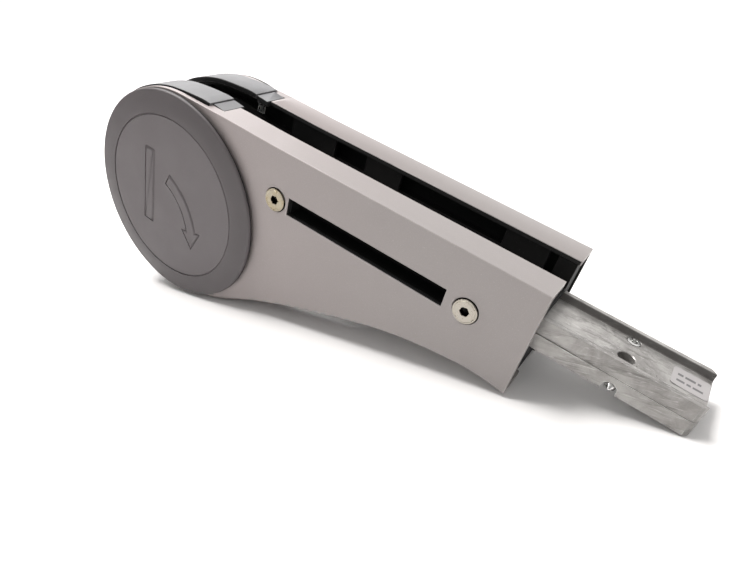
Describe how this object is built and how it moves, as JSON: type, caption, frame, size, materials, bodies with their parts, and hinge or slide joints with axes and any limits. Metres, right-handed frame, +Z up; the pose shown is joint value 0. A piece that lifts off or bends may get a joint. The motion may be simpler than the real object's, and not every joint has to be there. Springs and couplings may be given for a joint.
{
  "type": "gate opener arm",
  "caption": "Articulated gate opener arm section: two painted half shells round a steel inner arm, a turning elbow hub under disc caps, and a die-cast tongue for the next tube.",
  "frame": {"origin": "on the elbow pivot axis, midway between the two painted faces", "axes": "+Y along the pivot axis, from the front cap to the rear cap; +Z up as the arm stands on its round end and the far corner of its tongue; the arm runs towards +X and slopes down by 17.8 degrees"},
  "size_m": [0.3421, 0.0676, 0.124],
  "materials": {
    "shell_paint": "satin metallic taupe-grey paint",
    "cap_plastic": "fine matte dark grey moulding",
    "rim_plastic": "matte mid-grey moulding",
    "cast_alloy": "raw die cast, uneven, with flash at the parting line",
    "zinc_screw": "yellow zinc plate",
    "bright_steel": "turned, bright zinc plate",
    "hub_steel": "machined, oiled",
    "black_paint": "black powder coat",
    "bush_bronze": "sintered bronze, oiled",
    "black_plastic": "matte black moulding",
    "stop_rubber": "black rubber",
    "label_paper": "plain adhesive label, slightly glossy"
  },
  "bodies": {
    "arm": {"end_plug": "black_plastic", "front_bush": "bush_bronze", "front_cap": "cap_plastic", "front_cheek": "black_paint", "front_gap_pads": "black_plastic", "front_rim_clip": "bright_steel", "front_rim_cover": "rim_plastic", "front_screws": "zinc_screw", "front_shell": "shell_paint", "front_slot_liner": "black_plastic", "front_spacers": "bright_steel", "label": "label_paper", "rear_bush": "bush_bronze", "rear_cap": "cap_plastic", "rear_cheek": "black_paint", "rear_gap_pads": "black_plastic", "rear_rim_clip": "bright_steel", "rear_rim_cover": "rim_plastic", "rear_screws": "zinc_screw", "rear_shell": "shell_paint", "rear_slot_liner": "black_plastic", "rear_spacers": "bright_steel", "stop_pins": "bright_steel", "stop_sleeves": "stop_rubber", "tongue": "cast_alloy", "tongue_set_screws": "bright_steel"},
    "link_hub": {"front_thrust_washer": "bush_bronze", "hub_key": "bright_steel", "pin_end_screw": "bright_steel", "pin_end_washer": "bright_steel", "pivot_hub": "hub_steel", "pivot_pin": "bright_steel", "rear_thrust_washer": "bush_bronze"}
  },
  "joints": [
    {"name": "elbow_turn", "type": "hinge", "parent": "arm", "child": "link_hub", "pos_m": [0, 0, 0], "axis": [0, 1, 0], "range_deg": [-60, 140]}
  ]
}
